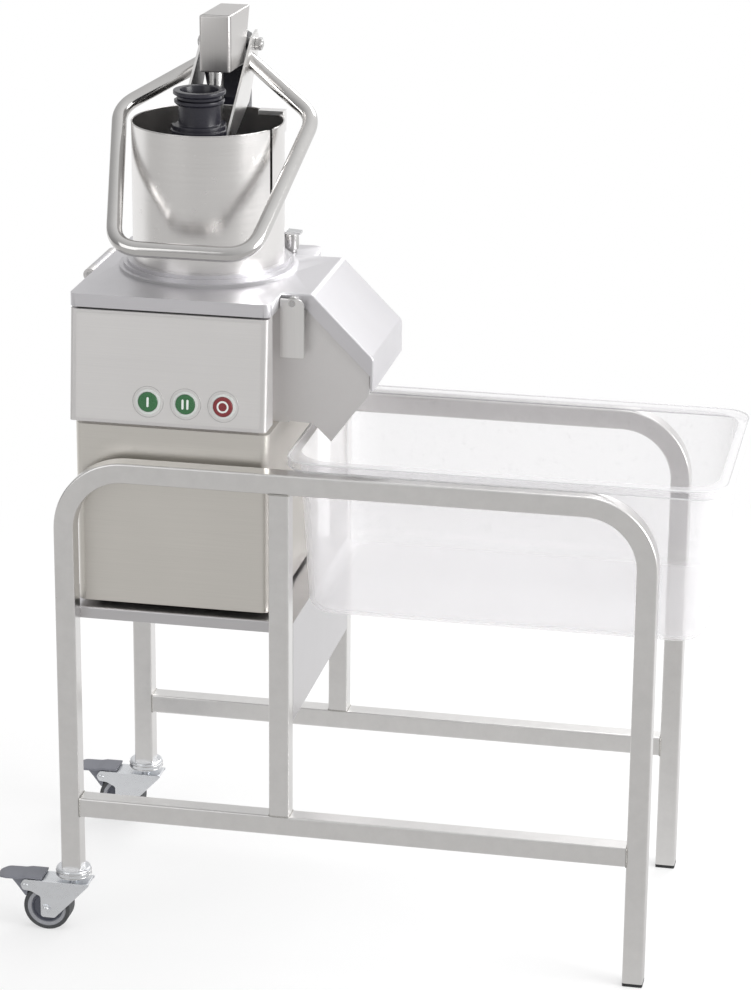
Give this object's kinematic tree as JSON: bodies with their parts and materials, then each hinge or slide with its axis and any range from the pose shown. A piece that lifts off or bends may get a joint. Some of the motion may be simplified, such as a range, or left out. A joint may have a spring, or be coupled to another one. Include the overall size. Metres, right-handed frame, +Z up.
{
  "type": "vegetable cutting machine on trolley",
  "caption": "Vegetable cutting machine with lever-fed hopper and hooded chute on a tubular steel trolley with brake casters, above a clear catch container.",
  "frame": {"origin": "centre of the bounding box's footprint, on the floor under the trolley", "axes": "+X from the machine end to the container end, -Y towards the operator, +Z up"},
  "size_m": [0.894, 0.391, 1.129],
  "materials": {
    "frame_steel": "satin stainless tube",
    "shelf_steel": "satin stainless sheet",
    "base_steel": "brushed stainless sheet",
    "hopper_steel": "brushed stainless",
    "handle_steel": "polished stainless",
    "cast_aluminium": "satin cast",
    "label": "silver foil with fine horizontal grain",
    "dark_plastic": "dark blue charcoal",
    "head_casting": "satin cast",
    "green_button": "gloss",
    "red_button": "gloss",
    "bezel": "pale ring",
    "clear_plastic": "clear polycarbonate",
    "cap_plastic": "black",
    "foot_rubber": "black",
    "zinc": "bright zinc",
    "tyre_rubber": "grey rubber",
    "hub_plastic": "blue grey",
    "pedal_plastic": "blue grey",
    "motor_iron": "painted",
    "machine_steel": "ground",
    "seal_rubber": "black"
  },
  "bodies": {
    "frame": {"front_hoop": "frame_steel", "rear_hoop": "frame_steel", "front_mid_post": "frame_steel", "rear_mid_post": "frame_steel", "front_lower_rail": "frame_steel", "rear_lower_rail": "frame_steel", "machine_shelf": "shelf_steel", "cross_plate": "shelf_steel", "foot_caps": "cap_plastic", "caster_heads": "zinc", "machine_feet": "foot_rubber", "base_shell": "base_steel", "base_plate": "base_steel", "base_plate_screws": "machine_steel", "cable_gland": "dark_plastic", "motor_case": "motor_iron", "motor_bearings": "machine_steel", "bowl_housing": "cast_aluminium", "shaft_seal": "seal_rubber", "control_label": "label", "button_bezels": "bezel", "discharge_chute": "base_steel", "housing_hinge": "cast_aluminium", "lid_hinge_pin": "machine_steel"},
    "rotor": {"motor_rotor": "motor_iron", "drive_shaft": "machine_steel", "ejector_disc": "dark_plastic", "slicing_disc": "machine_steel", "slicing_blades": "machine_steel", "disc_nut": "machine_steel"},
    "lid": {"lid": "cast_aluminium", "latch_pin": "machine_steel", "hopper": "hopper_steel", "hopper_ring": "cast_aluminium", "hopper_clip": "hopper_steel", "clamp_knob": "cap_plastic", "clamp_strap": "cap_plastic", "head_column": "dark_plastic", "head_block": "head_casting", "guide_rod": "machine_steel", "pivot_bolt": "machine_steel"},
    "latch": {"lid_latch": "hopper_steel"},
    "lever": {"lever_plates": "hopper_steel", "handle_loop": "handle_steel"},
    "pusher": {"pusher_plate": "cast_aluminium", "feed_tube": "dark_plastic", "yoke_band": "machine_steel"},
    "small_pusher": {"small_pusher": "dark_plastic"},
    "container": {"container": "clear_plastic"},
    "button_one": {"button_speed_one": "green_button"},
    "button_two": {"button_speed_two": "green_button"},
    "button_off": {"button_stop": "red_button"},
    "caster_front": {"caster_fork_front": "zinc"},
    "wheel_front": {"caster_hub_front": "hub_plastic", "caster_tyre_front": "tyre_rubber"},
    "pedal_front": {"brake_pedal_front": "pedal_plastic"},
    "caster_rear": {"caster_fork_rear": "zinc"},
    "wheel_rear": {"caster_hub_rear": "hub_plastic", "caster_tyre_rear": "tyre_rubber"},
    "pedal_rear": {"brake_pedal_rear": "pedal_plastic"}
  },
  "joints": [
    {"name": "disc_spin", "type": "hinge", "parent": "frame", "child": "rotor", "pos_m": [-0.215, 0.012, 0.77], "axis": [0, 0, 1], "continuous": true},
    {"name": "lid_hinge", "type": "hinge", "parent": "frame", "child": "lid", "pos_m": [-0.3545, 0.02, 0.815], "axis": [0, -1, 0], "range_deg": [0, 80]},
    {"name": "latch_pivot", "type": "hinge", "parent": "lid", "child": "latch", "pos_m": [-0.084, -0.1045, 0.815], "axis": [0, -1, 0], "range_deg": [0, 90]},
    {"name": "lever_swing", "type": "hinge", "parent": "lid", "child": "lever", "pos_m": [-0.215, 0.13, 1.078], "axis": [-1, 0, 0], "range_deg": [0, 58]},
    {"name": "pusher_travel", "type": "slide", "parent": "lid", "child": "pusher", "axis": [0, 0, 1], "range_m": [0, 0.1765]},
    {"name": "small_pusher_lift", "type": "slide", "parent": "pusher", "child": "small_pusher", "axis": [0, 0, 1], "range_m": [0, 0.16]},
    {"name": "container_slide", "type": "slide", "parent": "frame", "child": "container", "axis": [1, 0, 0], "range_m": [0, 0.12]},
    {"name": "button_one_press", "type": "slide", "parent": "frame", "child": "button_one", "axis": [0, 0.9947, -0.1032], "range_m": [0, 0.003], "stiffness_N_per_m": 600},
    {"name": "button_two_press", "type": "slide", "parent": "frame", "child": "button_two", "axis": [0, 0.9947, -0.1032], "range_m": [0, 0.003], "stiffness_N_per_m": 600},
    {"name": "button_off_press", "type": "slide", "parent": "frame", "child": "button_off", "axis": [0, 0.9947, -0.1032], "range_m": [0, 0.003], "stiffness_N_per_m": 600},
    {"name": "swivel_front", "type": "hinge", "parent": "frame", "child": "caster_front", "pos_m": [-0.3495, -0.1735, 0.08], "axis": [0, 0, 1], "continuous": true},
    {"name": "wheel_spin_front", "type": "hinge", "parent": "caster_front", "child": "wheel_front", "pos_m": [-0.3825, -0.1735, 0.03], "axis": [0, 1, 0], "continuous": true},
    {"name": "brake_front", "type": "hinge", "parent": "caster_front", "child": "pedal_front", "pos_m": [-0.4095, -0.1735, 0.0586], "axis": [0, -1, 0], "range_deg": [0, 12]},
    {"name": "swivel_rear", "type": "hinge", "parent": "frame", "child": "caster_rear", "pos_m": [-0.3495, 0.1735, 0.08], "axis": [0, 0, 1], "continuous": true},
    {"name": "wheel_spin_rear", "type": "hinge", "parent": "caster_rear", "child": "wheel_rear", "pos_m": [-0.3825, 0.1735, 0.03], "axis": [0, 1, 0], "continuous": true},
    {"name": "brake_rear", "type": "hinge", "parent": "caster_rear", "child": "pedal_rear", "pos_m": [-0.4095, 0.1735, 0.0586], "axis": [0, -1, 0], "range_deg": [0, 12]}
  ],
  "couplings": [
    {"joint": "pusher_travel", "follows": "lever_swing", "m_per_rad": 0.174}
  ]
}
